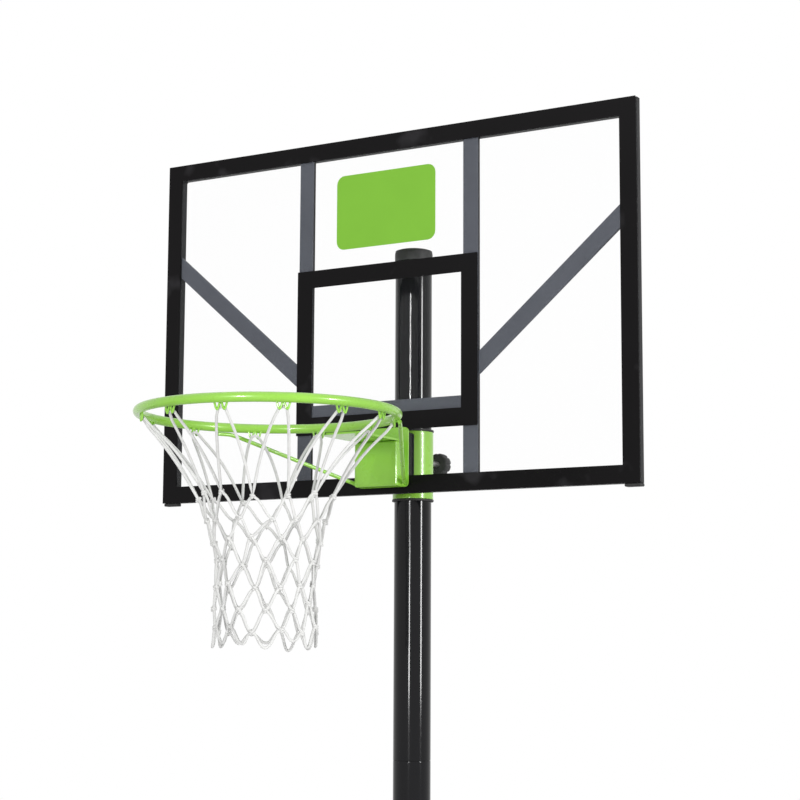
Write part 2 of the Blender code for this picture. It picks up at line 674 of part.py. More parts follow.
def make_struts():
    inner = POLE_R + GAP
    band = turned("strut_band",
                  ring_profile(inner - 0.0015, inner + 0.003, STRUT_TOP - CLAMP_BAND_H / 2,
                               STRUT_TOP + CLAMP_BAND_H / 2), "black")
    for side, name in ((-1, "left"), (1, "right")):
        top, foot = strut_line(side)
        run = (foot - top).normalized()
        lug = cylinder(f"band_lug_{name}", STRUT_R - STRUT_WALL - 2 * GAP, top, top + run * 0.065,
                       sides=20)
        cut(band, lug, "UNION")
        shell = STRUT_R - STRUT_WALL
        start, end = top + run * 0.032, foot - run * 0.012
        tube = turned(f"strut_{name}", ring_profile(shell, STRUT_R, 0, (end - start).length),
                      "black", None, 20, True, start)
        tube.rotation_mode = "QUATERNION"
        tube.rotation_quaternion = Vector((0, 0, 1)).rotation_difference(run)
        make_strut_foot(name, foot, run, shell)
    bore = cylinder("band_bore", inner, (0, 0, STRUT_TOP - 0.1), (0, 0, STRUT_TOP + 0.1),
                    sides=32)
    cut(band, bore)


def make_strut_foot(name, foot, run, shell):
    """Plate on the tank with a spigot that goes up into the strut."""
    base = TANK_H + GAP
    plate = box(f"strut_foot_{name}", (foot.x - 0.035, foot.y - 0.035, base),
                (foot.x + 0.035, foot.y + 0.035, base + 0.004), "black")
    block = cylinder(f"foot_block_{name}", 0.016, (foot.x, foot.y, base + 0.002),
                     (foot.x, foot.y, base + 0.020), sides=20)
    spigot = cylinder(f"foot_spigot_{name}", shell - 2 * GAP, foot + run * 0.006,
                      foot - run * 0.050, sides=20)
    cut(plate, block, "UNION")
    cut(plate, spigot, "UNION")


def make_wheels():
    middle = WELL_X + 0.0075 + WHEEL_W / 2
    for side, name in ((-1, "left"), (1, "right")):
        turn = (0, side * math.radians(90), 0)
        half = WHEEL_W / 2
        place_at = (side * middle, WHEEL_Y, WHEEL_Z)
        turned(f"tyre_{name}",
               [(WHEEL_R - 0.006, half), (WHEEL_R, half - 0.006), (WHEEL_R, -half + 0.006),
                (WHEEL_R - 0.006, -half), (HUB_R + GAP, -half), (HUB_R + GAP, half)],
               "rubber", None, 40, True, place_at).rotation_euler = turn
        web = 0.006
        bore = AXLE_R + GAP
        turned(f"hub_{name}",
               [(HUB_R, half), (HUB_R, -half), (HUB_R - 0.004, -half), (HUB_R - 0.004, -web),
                (0.013, -web), (0.013, -half), (bore, -half), (bore, half), (0.013, half),
                (0.013, web), (HUB_R - 0.004, web), (HUB_R - 0.004, half)],
               "plastic", None, 24, True, place_at).rotation_euler = turn
        start = WELL_X + GAP
        inner = start - middle
        turned(f"axle_{name}",
               [(0.0, half + 0.005), (0.010, half + 0.005), (0.011, half + 0.004),
                (0.011, half + GAP), (AXLE_R, half + GAP), (AXLE_R, inner + 0.005),
                (0.022, inner + 0.005), (0.022, inner), (0.0, inner)],
               "zinc", None, 16, False, place_at).rotation_euler = turn


def build():
    bolt_holes = make_bolt_holes()
    make_board(bolt_holes)
    make_frame()
    make_braces()
    make_carrier(bolt_holes)
    make_sleeve()
    make_ring()
    make_bracket(bolt_holes)
    make_bolts()
    make_net()
    make_pole()
    make_tank()
    make_foot()
    make_struts()
    make_wheels()


build()
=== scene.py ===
import json
import math
import random

import bmesh
import bpy
from mathutils import Matrix, Vector


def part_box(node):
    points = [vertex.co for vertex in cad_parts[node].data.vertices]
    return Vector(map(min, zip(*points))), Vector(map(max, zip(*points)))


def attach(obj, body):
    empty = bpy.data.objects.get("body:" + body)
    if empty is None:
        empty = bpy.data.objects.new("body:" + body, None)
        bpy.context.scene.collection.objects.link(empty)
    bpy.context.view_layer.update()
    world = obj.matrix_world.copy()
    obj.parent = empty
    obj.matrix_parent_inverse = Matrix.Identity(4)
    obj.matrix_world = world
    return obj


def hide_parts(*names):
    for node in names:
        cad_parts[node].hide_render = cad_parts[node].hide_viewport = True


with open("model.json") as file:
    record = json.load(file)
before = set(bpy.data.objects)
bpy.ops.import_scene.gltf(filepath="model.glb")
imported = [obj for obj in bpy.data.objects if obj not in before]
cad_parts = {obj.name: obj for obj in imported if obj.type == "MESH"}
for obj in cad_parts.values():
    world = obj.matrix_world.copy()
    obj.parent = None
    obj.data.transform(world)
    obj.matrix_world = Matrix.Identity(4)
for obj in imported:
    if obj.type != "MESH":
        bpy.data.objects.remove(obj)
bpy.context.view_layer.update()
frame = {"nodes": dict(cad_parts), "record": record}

RNG = random.Random(7)

# Sizes repeated from the CAD model, in metres.
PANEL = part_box("backboard_panel")
FRONT, BOTTOM = PANEL[0].y, PANEL[0].z
BOARD_W, BOARD_H = PANEL[1].x - PANEL[0].x, PANEL[1].z - PANEL[0].z
RING_R, RING_TUBE, RING_OUT, RING_UP = 0.2376, 0.009, 0.4126, 0.117
HOOK_IN, HOOK_LOOP, HOOK_WIRE = 0.005, 0.008, 0.002
RING = Vector((0, FRONT - RING_OUT, BOTTOM + RING_UP))
POLE_R = 0.0383
NET_DROP = 0.433
RIB_W, RIB_FRONT, RIB_BACK, RIB_RISE = 0.044, 0.13, 0.50, 0.004

# The camera: degrees, and metres from the lower edge of the board's front face.
CAMERA_AZIMUTH, CAMERA_HEIGHT, CAMERA_ROLL = 30.6149, -7.593, 0.2849
CAMERA_X, CAMERA_OUT, CAMERA_BELOW = 1.9671, 3.2618, 0.3163
SENSOR, FOCAL_SHARE = 36.0, 1894.12 / 800


# ------------------------------------------------------------------ materials

def material(name, color, rough, metallic=0.0, spec=0.5, coat=0.0, vary=0.06, grain=400.0,
             bump=0.1, depth=0.0002, rough_vary=0.08, patch=9.0, speck_and_sheen=None):
    """A procedural finish: patchy colour, uneven roughness and a fine surface grain."""
    made = bpy.data.materials.new(name)
    made.use_nodes = True
    nodes, links = made.node_tree.nodes, made.node_tree.links
    shader = nodes["Principled BSDF"]
    shader.inputs["Metallic"].default_value = metallic
    shader.inputs["Specular IOR Level"].default_value = spec
    shader.inputs["Coat Weight"].default_value = coat
    shader.inputs["Coat Roughness"].default_value = 0.08
    where = nodes.new("ShaderNodeTexCoord")
    cloud = nodes.new("ShaderNodeTexNoise")
    cloud.inputs["Scale"].default_value = patch
    cloud.inputs["Detail"].default_value = 6
    links.new(where.outputs["Object"], cloud.inputs["Vector"])
    tint = nodes.new("ShaderNodeMix")
    tint.data_type = "RGBA"
    low = [c * (1 - 2 * vary) for c in color]
    high = [min(1.0, c * (1 + 2 * vary)) for c in color]
    tint.inputs["A"].default_value = (*low, 1)
    tint.inputs["B"].default_value = (*high, 1)
    links.new(cloud.outputs["Fac"], tint.inputs["Factor"])
    out = tint.outputs["Result"]
    fine = nodes.new("ShaderNodeTexNoise")
    fine.inputs["Scale"].default_value = grain
    fine.inputs["Detail"].default_value = 3
    links.new(where.outputs["Object"], fine.inputs["Vector"])
    # Paler spots: flecks in the coat on powder coat and plastic; on the gloss print they are a
    # painted reflection of smudges on the film.
    if speck_and_sheen:
        speck_and_sheen_mask = nodes.new("ShaderNodeValToRGB")
        speck_and_sheen_mask.color_ramp.elements[0].position = 0.60
        speck_and_sheen_mask.color_ramp.elements[1].position = 0.68
        links.new(fine.outputs["Fac"], speck_and_sheen_mask.inputs["Fac"])
        speck_and_sheen_mix = nodes.new("ShaderNodeMix")
        speck_and_sheen_mix.data_type = "RGBA"
        links.new(speck_and_sheen_mask.outputs["Color"], speck_and_sheen_mix.inputs["Factor"])
        links.new(out, speck_and_sheen_mix.inputs["A"])
        speck_and_sheen_mix.inputs["B"].default_value = (*speck_and_sheen, 1)
        out = speck_and_sheen_mix.outputs["Result"]
    links.new(out, shader.inputs["Base Color"])
    span = nodes.new("ShaderNodeMapRange")
    span.inputs["To Min"].default_value = max(0.02, rough - rough_vary)
    span.inputs["To Max"].default_value = min(1.0, rough + rough_vary)
    smear = nodes.new("ShaderNodeTexNoise")
    smear.inputs["Scale"].default_value = patch * 3.1
    smear.inputs["Detail"].default_value = 5
    links.new(where.outputs["Object"], smear.inputs["Vector"])
    links.new(smear.outputs["Fac"], span.inputs["Value"])
    links.new(span.outputs["Result"], shader.inputs["Roughness"])
    relief = nodes.new("ShaderNodeBump")
    relief.inputs["Strength"].default_value = bump
    relief.inputs["Distance"].default_value = depth
    links.new(fine.outputs["Fac"], relief.inputs["Height"])
    links.new(relief.outputs["Normal"], shader.inputs["Normal"])
    return made


def clear_material():
    """Clear sheet: nearly unseen face on, with paler, denser edges."""
    made = material("clear_polycarbonate_sheet", (0.42, 0.45, 0.46), 0.05, spec=0.3, vary=0.01,
                    grain=30, bump=0.02, rough_vary=0.02)
    nodes, links = made.node_tree.nodes, made.node_tree.links
    shader = nodes["Principled BSDF"]
    facing = nodes.new("ShaderNodeLayerWeight")
    facing.inputs["Blend"].default_value = 0.12
    span = nodes.new("ShaderNodeMapRange")
    span.inputs["To Min"].default_value = 0.004
    span.inputs["To Max"].default_value = 0.12
    links.new(facing.outputs["Facing"], span.inputs["Value"])
    links.new(span.outputs["Result"], shader.inputs["Alpha"])
    return made


M = {
    "clear": clear_material(),
    # The print's paler patches are smudges on the gloss film, painted as the reflection they show.
    "print": material("gloss_black_print", (0.0065, 0.006, 0.0065), 0.20, spec=0.07, vary=0.2,
                      grain=9, bump=0.05, depth=0.002, patch=3, speck_and_sheen=(0.022, 0.021, 0.023)),
    "badge": material("green_sticker_film", (0.215, 0.500, 0.048), 0.35, spec=0.15, vary=0.03,
                      grain=60, bump=0.03),
    "black": material("black_powder_coat", (0.012, 0.012, 0.013), 0.42, spec=0.15, vary=0.12,
                      grain=900, bump=0.25, depth=0.0003, speck_and_sheen=(0.026, 0.026, 0.028)),
    "grey": material("grey_powder_coat", (0.082, 0.088, 0.106), 0.50, spec=0.2, vary=0.10,
                     grain=800, bump=0.3, depth=0.0003, speck_and_sheen=(0.13, 0.135, 0.155)),
    "green": material("green_powder_coat", (0.268, 0.575, 0.055), 0.28, spec=0.5, coat=0.35,
                      vary=0.07, grain=600, bump=0.12, depth=0.0003),
    "pole": material("gloss_black_enamel", (0.004, 0.004, 0.005), 0.09, spec=0.22, vary=0.15,
                     grain=260, bump=0.02, depth=0.0001, rough_vary=0.02, patch=5),
    "plastic": material("black_moulded_plastic", (0.028, 0.028, 0.028), 0.55, spec=0.25,
                        vary=0.12, grain=1300, bump=0.5, depth=0.0003,
                        speck_and_sheen=(0.06, 0.062, 0.06)),
    "tank": material("black_blow_moulded_tank", (0.024, 0.024, 0.026), 0.52, spec=0.4,
                     vary=0.12, grain=700, bump=0.4, depth=0.0004, patch=4),
    "rubber": material("black_rubber_tread", (0.018, 0.018, 0.018), 0.80, spec=0.3, vary=0.15,
                       grain=500, bump=0.3),
    "zinc": material("zinc_plate", (0.62, 0.62, 0.60), 0.33, 1.0, vary=0.06, grain=500,
                     bump=0.1, patch=40),
    "cord": material("white_braided_cord", (0.68, 0.68, 0.67), 0.85, spec=0.2, vary=0.05,
                     grain=900, bump=0.9, depth=0.0006, patch=60),
}
NODE_FINISH = {"pole_lower": "pole", "pole_middle": "pole", "pole_upper": "pole",
               "upright_left": "upright", "upright_right": "upright"}


def painted_side_shade(made):
    """Turns the faces that look sideways black: painted shade for the unlit sides of the uprights.
    """
    nodes, links = made.node_tree.nodes, made.node_tree.links
    shader = nodes["Principled BSDF"]
    face = shader.inputs["Base Color"].links[0].from_socket
    where = nodes.new("ShaderNodeTexCoord")
    axes = nodes.new("ShaderNodeSeparateXYZ")
    links.new(where.outputs["Normal"], axes.inputs[0])
    side = nodes.new("ShaderNodeMath")
    side.operation = "ABSOLUTE"
    links.new(axes.outputs["X"], side.inputs[0])
    cut = nodes.new("ShaderNodeMath")
    cut.operation = "GREATER_THAN"
    cut.inputs[1].default_value = 0.7
    links.new(side.outputs[0], cut.inputs[0])
    mix = nodes.new("ShaderNodeMix")
    mix.data_type = "RGBA"
    # Painted shade: the black given to the faces that look sideways.
    mix.inputs["B"].default_value = (0.012, 0.012, 0.013, 1)
    links.new(cut.outputs[0], mix.inputs["Factor"])
    links.new(face, mix.inputs["A"])
    links.new(mix.outputs["Result"], shader.inputs["Base Color"])
    return made


def paint_nodes():
    # The uprights' sideways faces get painted shade.
    M["upright"] = painted_side_shade(M["grey"].copy())
    slots = {entry["node"]: entry["material_slot"] for entry in frame["record"]["subparts"]}
    for name, obj in frame["nodes"].items():
        finish = M[NODE_FINISH.get(name, slots[name])]
        obj.data.materials.clear()
        obj.data.materials.append(finish)


# ------------------------------------------------------------------ pieces

def link(name, data, finish, body, nodes=(), location=(0, 0, 0)):
    obj = bpy.data.objects.new(name, data)
    bpy.context.scene.collection.objects.link(obj)
    obj.location = location
    data.materials.append(M[finish])
    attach(obj, body)
    if nodes:
        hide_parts(*nodes)
    return obj


def mesh_piece(name, bm, finish, body, nodes=(), smooth=True, sharp=35):
    bmesh.ops.recalc_face_normals(bm, faces=bm.faces)
    for edge in bm.edges:
        if len(edge.link_faces) == 2:
            edge.smooth = edge.calc_face_angle(0) < math.radians(sharp)
    for face in bm.faces:
        face.smooth = smooth
    data = bpy.data.meshes.new(name)
    bm.to_mesh(data)
    bm.free()
    return link(name, data, finish, body, nodes)


def with_end_loops(profile, closed):
    """Adds a loop near each end of a long run, so that its shading stays true to its shape."""
    done = []
    last = len(profile) if closed else len(profile) - 1
    for i, point in enumerate(profile):
        done.append(point)
        if i >= last:
            continue
        a, b = Vector(point), Vector(profile[(i + 1) % len(profile)])
        length = (b - a).length
        if length > 0.006 and point[0] > 1e-7 and b.x > 1e-7:
            for near in (a.lerp(b, 0.0015 / length), b.lerp(a, 0.0015 / length)):
                done.append((near.x, near.y))
    return done


def lathe(bm, profile, steps=96, matrix=None, closed=True):
    """Turns (radius, height) points about Z; points on the axis close the shape."""
    profile = with_end_loops(profile, closed)
    rings = []
    for r, z in profile:
        if r < 1e-7:
            rings.append([bm.verts.new((0, 0, z))])
        else:
            rings.append([bm.verts.new((r * math.cos(math.tau * i / steps),
                                        r * math.sin(math.tau * i / steps), z))
                          for i in range(steps)])
    pairs = list(zip(rings, rings[1:])) + ([(rings[-1], rings[0])] if closed else [])
    for a, b in pairs:
        if len(a) == 1 and len(b) == 1:
            continue
        for i in range(steps):
            j = (i + 1) % steps
            if len(a) == 1:
                bm.faces.new((a[0], b[i], b[j]))
            elif len(b) == 1:
                bm.faces.new((a[i], a[j], b[0]))
            else:
                bm.faces.new((a[i], a[j], b[j], b[i]))
    if matrix:
        made = [v for ring in rings for v in ring]
        bmesh.ops.transform(bm, matrix=matrix, verts=made)


def rounded_profile(points, radius, steps=3):
    """The closed profile with each corner cut into a short arc."""
    done = []
    count = len(points)
    for i, (x, y) in enumerate(points):
        here = Vector((x, y))
        before, after = Vector(points[i - 1]), Vector(points[(i + 1) % count])
        if x < 1e-7:
            done.append((x, y))
            continue
        r = min(radius, (before - here).length * 0.4, (after - here).length * 0.4)
        a = here + (before - here).normalized() * r
        b = here + (after - here).normalized() * r
        for k in range(steps + 1):
            t = k / steps
            p = a * (1 - t) ** 2 + here * 2 * t * (1 - t) + b * t ** 2
            done.append((p.x, p.y))
    return done


def ring_points(inner, outer, low, high):
    return [(outer, high), (outer, low), (inner, low), (inner, high)]


def tube_points(node):
    """Height range of an upright round node."""
    low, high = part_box(node)
    return low.z, high.z


def sweep(bm, path, radius, sides=10, closed=False, caps=True):
    """A round tube along the path."""
    count = len(path)
    rings = []
    normal = None
    for i, point in enumerate(path):
        before = path[i - 1] if i or closed else path[i]
        after = path[(i + 1) % count] if i < count - 1 or closed else path[i]
        tangent = (after - before).normalized()
        if normal is None:
            pick = Vector((0, 0, 1)) if abs(tangent.z) < 0.9 else Vector((1, 0, 0))
            normal = tangent.cross(pick).normalized()
        normal = (normal - tangent * normal.dot(tangent)).normalized()
        side = tangent.cross(normal)
        rings.append([bm.verts.new(point + radius * (math.cos(math.tau * k / sides) * normal
                                                     + math.sin(math.tau * k / sides) * side))
                      for k in range(sides)])
    last = count if closed else count - 1
    for i in range(last):
        a, b = rings[i], rings[(i + 1) % count]
        shift = 0
        if closed and i == count - 1:
            shift = min(range(sides), key=lambda s: (a[0].co - b[s].co).length)
        for k in range(sides):
            bm.faces.new((a[k], a[(k + 1) % sides], b[(k + 1 + shift) % sides],
                          b[(k + shift) % sides]))
    if caps and not closed:
        bm.faces.new(rings[0][::-1])
        bm.faces.new(rings[-1])


def on_ring(angle, radius=RING_R, z=0.0):
    return RING + Vector((radius * math.cos(angle), radius * math.sin(angle), z))


def hook_angles():
    first, step, front, rear = 257.0, 27.0, 5, 7
    last = first + step * (front - 1)
    gap = (first + 360 - last) / (rear + 1)
    angles = [first + step * i for i in range(front)] + [last + gap * (i + 1) for i in range(rear)]
    return sorted(math.radians(a) % math.tau for a in angles)


HOOKS = hook_angles()


HOOK_SPAN = 0.0135


def make_ring():
    bm = bmesh.new()
    path = [on_ring(math.tau * i / 180) for i in range(180)]
    sweep(bm, path, RING_TUBE, 20, closed=True)
    mesh_piece("rim_ring_round", bm, "green", "carriage", ["rim_ring"])
    bm = bmesh.new()
    for angle in HOOKS:
        centre = on_ring(angle, RING_R - HOOK_IN, -RING_TUBE - HOOK_LOOP / 2)
        along = Vector((-math.sin(angle), math.cos(angle), 0))
        loop = []
        for k in range(41):
            t = -1 + k / 20
            sag = HOOK_LOOP * 0.85 * math.cos(math.tau * t)
            lift = max(0.0, abs(t) - 0.75) * 0.006
            loop.append(centre + along * (t * HOOK_SPAN) + Vector((0, 0, sag + lift)))
        sweep(bm, loop, HOOK_WIRE, 10)
    mesh_piece("net_hook_wires", bm, "green", "carriage")


def make_braces():
    for side, name in ((-1, "left"), (1, "right")):
        node = f"rim_brace_{name}"
        angle = math.radians(90 - side * (90 - 31.5))
        apart = RING_TUBE + 0.004 + 0.0003
        top = on_ring(angle, RING_R + 0.004, -math.sqrt(apart ** 2 - 0.004 ** 2))
        foot = Vector((side * (0.0505 + 0.004 + 0.0003), FRONT - 0.014, BOTTOM + 0.020))
        near = top + (foot - top) * 0.10
        near.z = top.z
        bend = near + (foot - near) * 0.04
        path = [top, top.lerp(near, 0.7)]
        for k in range(1, 8):
            t = k / 8
            path.append(top.lerp(near, 0.7) * (1 - t) ** 2 + near * 2 * t * (1 - t)
                        + bend.lerp(foot, 0.05) * t ** 2)
        path += [bend.lerp(foot, 0.05), foot]
        bm = bmesh.new()
        sweep(bm, path, 0.0039, 14)
        mesh_piece(f"{node}_rod", bm, "green", "carriage", [node])


# ------------------------------------------------------------------ net

def net_radius(drop):
    steps = ((0.0, RING_R - HOOK_IN), (0.05, 0.199), (0.10, 0.160), (0.155, 0.124), (0.192, 0.110),
             (0.230, 0.098), (0.265, 0.0925), (0.30, 0.0905), (NET_DROP, 0.0915))
    for (d0, r0), (d1, r1) in zip(steps, steps[1:]):
        if drop <= d1:
            return r0 + (r1 - r0) * (drop - d0) / (d1 - d0)
    return steps[-1][1]


ROWS = 8


def net_knots():
    """Rows of knots, each between the two above it; the first row is the hooks."""
    count = len(HOOKS)
    step = (NET_DROP - 0.157) / (ROWS - 1)
    rows = []
    for row in range(ROWS + 1):
        knots = []
        for i in range(count):
            after = HOOKS[(i + 1) % count] + (math.tau if i == count - 1 else 0)
            hung = (HOOKS[i] + after) / 2 if row % 2 else HOOKS[i]
            even = HOOKS[0] + math.tau * (i + (0.5 if row % 2 else 0)) / count
            angle = hung + (even - hung) * min(1.0, row / 3)
            if row == 0:
                knots.append((angle, 0.0163, RING_R - HOOK_IN))
                continue
            drop = 0.157 + step * (row - 1) + RNG.uniform(-0.007, 0.007)
            wobble = RNG.uniform(-0.065, 0.065)
            if row == ROWS:
                drop = min(drop, NET_DROP) - RNG.uniform(0.0, 0.016)
            knots.append((angle + wobble, drop, net_radius(drop) + RNG.uniform(-0.004, 0.004)))
        rows.append(knots)
    return rows


def net_point(a, b, t, rounding):
    """A point on the cord from knot a down to knot b, drooping in a soft curve."""
    turn = (b[0] - a[0] + math.pi) % math.tau - math.pi
    s = t - rounding * math.sin(math.tau * t) / math.tau
    drop = a[1] + (b[1] - a[1]) * s
    if a[1] < 0.05:
        radius = a[2] + (b[2] - a[2]) * t - 0.010 * math.sin(math.pi * t)
    else:
        radius = a[2] + (b[2] - a[2]) * t
    return on_ring(a[0] + turn * t, radius, -drop)


def make_net():
    rows = net_knots()
    count = len(HOOKS)
    bm = bmesh.new()
    cord = 0.0027
    steps = 9
    apart = HOOK_SPAN / 2 / (RING_R - HOOK_IN)
    for row in range(ROWS):
        path = []
        rounding = 0.05 if row == 0 else (0.8 if row == ROWS - 1 else 0.5)
        for i in range(count):
            upper = rows[row][i]
            after = rows[row][(i + 1) % count]
            if row == 0:
                upper = (upper[0] + apart, upper[1], upper[2])
                after = (after[0] - apart, after[1], after[2])
            here = i if row % 2 == 0 else (i + 1) % count
            lower = rows[row + 1][here]
            first = 1 if row == 0 else 0
            for k in range(first, steps):
                path.append(net_point(upper, lower, k / steps, rounding))
            for k in range(steps):
                path.append(net_point(after, lower, 1 - k / steps, rounding))
            if row == 0:
                angle = after[0]
                for turn, rise in ((0, -0.0175), (0.5, -0.0160), (1, -0.0150), (1.5, -0.0160),
                                   (2, -0.0175)):
                    path.append(on_ring(angle + turn * apart, after[2] - 0.0048, rise))
        sweep(bm, path, cord, 8, closed=True)
    mesh_piece("net_cords", bm, "cord", "carriage", ["net"])
    bm = bmesh.new()
    for row in range(1, ROWS):
        for angle, drop, radius in rows[row]:
            make_knot(bm, on_ring(angle, radius, -drop), angle, cord)
    mesh_piece("net_knots", bm, "cord", "carriage")


def make_knot(bm, centre, angle, cord):
    """A small tied lump: the cord wound round itself at the crossing."""
    out = Vector((math.cos(angle), math.sin(angle), 0))
    along = Vector((-math.sin(angle), math.cos(angle), 0))
    tilt = RNG.uniform(-0.5, 0.5)
    up = Vector((0, 0, 1))
    path = []
    for k in range(22):
        t = k / 21
        turn = math.tau * (1.6 * t + 0.2)
        reach = 0.0033
        spin = math.cos(tilt) * along + math.sin(tilt) * up
        lift = math.cos(tilt) * up - math.sin(tilt) * along
        path.append(centre + reach * (math.cos(turn) * spin + math.sin(turn) * out)
                    + lift * (t - 0.5) * 0.007)
    sweep(bm, path, cord * 0.92, 7)


# ------------------------------------------------------------------ pole, sleeve, cap

def make_round_parts():
    foot, top = tube_points("pole_lower")
    bm = bmesh.new()
    lathe(bm, rounded_profile(ring_points(POLE_R - 0.002, POLE_R, foot, top), 0.0008))
    mesh_piece("pole_lower_tube", bm, "pole", "base", ["pole_lower"])
    for name, low in (("pole_middle", 1.10), ("pole_upper", 2.05)):
        top = tube_points(name)[1]
        neck, inner = POLE_R - 0.0028, POLE_R - 0.002
        bm = bmesh.new()
        lathe(bm, [(POLE_R - 0.0004, top), (POLE_R, top - 0.0006), (POLE_R, low + 0.0008),
                   (POLE_R - 0.0006, low), (neck, low), (neck, low - 0.08),
                   (neck - 0.002, low - 0.08), (neck - 0.002, low), (inner, low + 0.008),
                   (inner, top)])
        mesh_piece(f"{name}_tube", bm, "pole", "base", [name])
    low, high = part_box("pole_cap")
    outer, inner = 0.0396, POLE_R + 0.0003
    bm = bmesh.new()
    curve = [(0.0, high.z), (outer - 0.012, high.z - 0.0003)]
    for k in range(7):
        turn = math.radians(90 - 15 * k)
        curve.append((outer - 0.008 + 0.008 * math.cos(turn),
                      high.z - 0.0085 + 0.008 * math.sin(turn)))
    curve += [(outer, low.z + 0.0006), (outer - 0.0005, low.z), (inner, low.z),
              (inner, high.z - 0.0025), (0.0, high.z - 0.0025)]
    lathe(bm, curve, closed=False)
    mesh_piece("pole_cap_moulded", bm, "plastic", "base", ["pole_cap"])
    low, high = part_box("sleeve_tube")
    bm = bmesh.new()
    lathe(bm, rounded_profile(ring_points(0.040, 0.042, low.z, high.z), 0.0007))
    mesh_piece("sleeve_tube_round", bm, "green", "carriage", ["sleeve_tube"])
    for name, sign in (("upper", 1), ("lower", -1)):
        low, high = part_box(f"bushing_{name}")
        lip, tip = (high.z, low.z) if sign > 0 else (low.z, high.z)
        edge = lip - sign * 0.0045
        bm = bmesh.new()
        lathe(bm, rounded_profile([(0.043, lip), (0.043, edge), (0.0397, edge), (0.0397, tip),
                                   (0.0387, tip), (0.0387, lip)], 0.0011))
        mesh_piece(f"bushing_{name}_liner", bm, "plastic", "carriage",
                   [f"bushing_{name}"])


def make_knob():
    low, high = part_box("clamp_knob")
    centre = (low + high) / 2
    half = (high.y - low.y) / 2
    bm = bmesh.new()
    steps, lobes = 120, 8
    layers = ((-half, 0.86), (-half + 0.002, 0.97), (-half + 0.005, 1.0), (half - 0.007, 1.0),
              (half - 0.003, 0.96), (half, 0.80), (half - 0.002, 0.55), (half - 0.0025, 0.0))
    rings = []
    for y, grow in layers:
        ring = []
        for i in range(steps):
            angle = math.tau * i / steps
            dip = max(0.0, math.cos(lobes * angle)) ** 3
            r = 0.0238 * grow * (1 - 0.10 * dip * min(1, grow * 1.2))
            if grow == 0:
                r = 0.004
            ring.append(bm.verts.new(centre + Vector((r * math.cos(angle), y,
                                                      r * math.sin(angle)))))
        rings.append(ring)
    for a, b in zip(rings, rings[1:]):
        for i in range(steps):
            j = (i + 1) % steps
            bm.faces.new((a[i], a[j], b[j], b[i]))
    bm.faces.new(rings[0][::-1])
    bm.faces.new(rings[-1])
    mesh_piece("clamp_knob_lobed", bm, "plastic", "clamp", ["clamp_knob"], sharp=50)


# ------------------------------------------------------------------ base

def make_wheels():
    half = 0.020
    for side, name in ((-1, "left"), (1, "right")):
        low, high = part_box(f"tyre_{name}")
        centre = (low + high) / 2
        turn = Matrix.Translation(centre) @ Matrix.Rotation(side * math.pi / 2, 4, "Y")
        bm = bmesh.new()
        profile = [(0.0403, half)]
        for k in range(9):
            a = math.radians(80 - 20 * k)
            profile.append((0.0535 + 0.0062 * math.cos(a) + 0.0002, half * 0.98 * math.sin(a)))
        profile.append((0.0403, -half))
        lathe(bm, profile, 120, turn)
        mesh_piece(f"tyre_{name}_round", bm, "rubber", f"wheel_{name}",
                   [f"tyre_{name}"], sharp=50)
        bm = bmesh.new()
        bore, web = 0.0063, 0.006
        lathe(bm, rounded_profile(
            [(0.040, half), (0.040, -half), (0.036, -half), (0.036, -web), (0.013, -web),
             (0.013, -half), (bore, -half), (bore, half), (0.013, half), (0.013, web),
             (0.036, web), (0.036, half)], 0.0012), 72, turn)
        for k in range(6):
            spin = turn @ Matrix.Rotation(math.tau * k / 6, 4, "Z")
            rib = bmesh.ops.create_cube(bm, size=1.0)["verts"]
            shape = Matrix.Translation((0.0245, 0, 0)) @ Matrix.Diagonal((0.024, 0.004, 0.030, 1))
            bmesh.ops.transform(bm, matrix=spin @ shape, verts=rib)
        mesh_piece(f"hub_{name}_ribbed", bm, "plastic", f"wheel_{name}",
                   [f"hub_{name}"], sharp=40)


def bolt(bm, at, direction, across=0.013, head=0.0055, washer=0.011):
    """A hex head on a washer, pointing along direction from the point it sits on."""
    turn = Vector((0, 0, 1)).rotation_difference(Vector(direction)).to_matrix().to_4x4()
    matrix = Matrix.Translation(at) @ turn
    lathe(bm, rounded_profile([(washer, 0.0016), (washer, 0.0), (0.0, 0.0), (0.0, 0.0016)],
                              0.0004, 2), 32, matrix, closed=False)
    half = across / 2 / math.cos(math.pi / 6)
    lathe(bm, [(0.0, 0.0016 + head), (half * 0.82, 0.0016 + head), (half, 0.0008 + head),
               (half, 0.0016), (0.0, 0.0016)], 6, matrix, closed=False)


def make_bolts():
    low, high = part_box("pole_foot")
    plate_top = low.z + 0.005
    bm = bmesh.new()
    for x in (-1, 1):
        for y in (-1, 1):
            bolt(bm, Vector((x * 0.066, y * 0.066, plate_top)), (0, 0, 1))
    for name in ("left", "right"):
        a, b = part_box(f"strut_foot_{name}")
        mid = (a + b) / 2
        for x, y in ((-0.025, -0.025), (0.025, 0.025), (-0.025, 0.025), (0.025, -0.025)):
            bolt(bm, Vector((mid.x + x, mid.y + y, a.z + 0.004)),
                 (0, 0, 1), 0.010, 0.004, 0.008)
    mesh_piece("base_bolt_heads", bm, "zinc", "base", sharp=25)


def weld(bm, a, b, radius=0.0016):
    """A bead of weld from a to b, with the ripples of a hand-laid one."""
    a, b = Vector(a), Vector(b)
    count = max(6, int((b - a).length / 0.0022))
    path = [a.lerp(b, i / count) + Vector((RNG.uniform(-1, 1), 0, RNG.uniform(-1, 1))) * 0.0003
            for i in range(count + 1)]
    sweep(bm, path, radius, 6)


